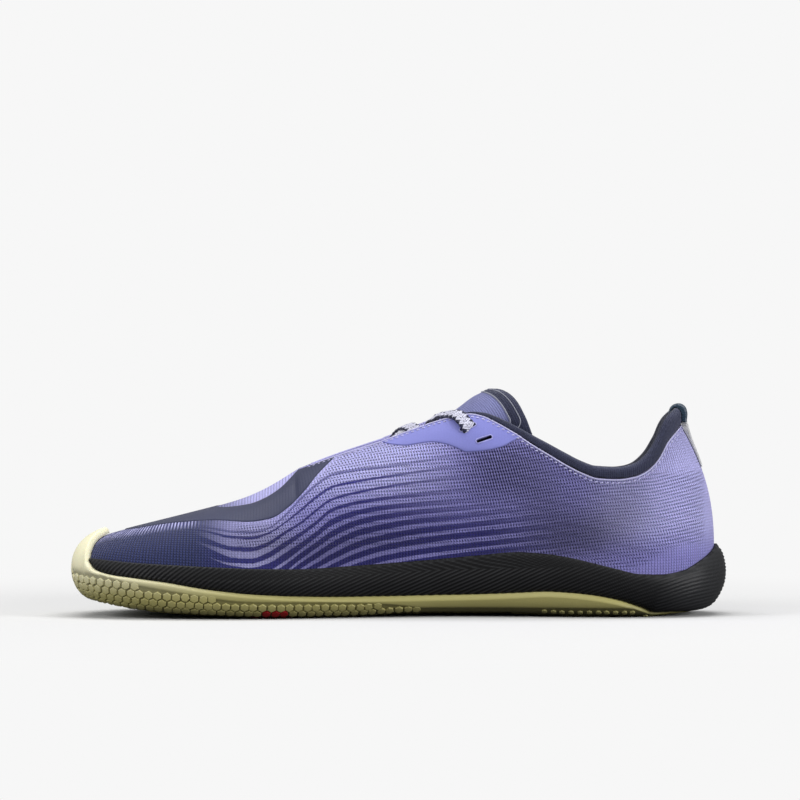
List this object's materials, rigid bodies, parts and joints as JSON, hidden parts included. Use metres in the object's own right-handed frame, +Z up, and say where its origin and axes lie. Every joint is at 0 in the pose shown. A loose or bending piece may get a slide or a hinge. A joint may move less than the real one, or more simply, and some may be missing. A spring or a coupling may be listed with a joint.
{
  "type": "barefoot running shoe",
  "caption": "Low-cut barefoot running shoe with a wide toe box, knitted upper, padded collar and tongue, ribbed rubber rand and thin flexible cupped outsole with a toe bumper.",
  "frame": {"origin": "middle of the bounding box, on the floor that the sole stands on", "axes": "toe towards -X, heel towards +X, outer (little-toe) side towards +Y, inner (big-toe) side towards -Y, +Z up"},
  "size_m": [0.2696, 0.0966, 0.0925],
  "materials": {
    "sole_rubber": "matt, with hexagonal tread",
    "rand_rubber": "satin, finely ribbed",
    "knit": "knitted, matt",
    "collar_knit": "fine knit over foam",
    "tongue_knit": "fine knit over foam",
    "footbed": "brushed cloth on foam",
    "lace_braid": "flat braid",
    "tab_cloth": "woven tape",
    "tape": "woven tape"
  },
  "bodies": {
    "root": {"outsole": "sole_rubber", "rand": "rand_rubber", "upper": "knit", "collar": "collar_knit", "tongue": "tongue_knit", "insole": "footbed", "laces": "lace_braid", "heel_tab": "tab_cloth", "heel_strip": "tape"}
  },
  "joints": []
}
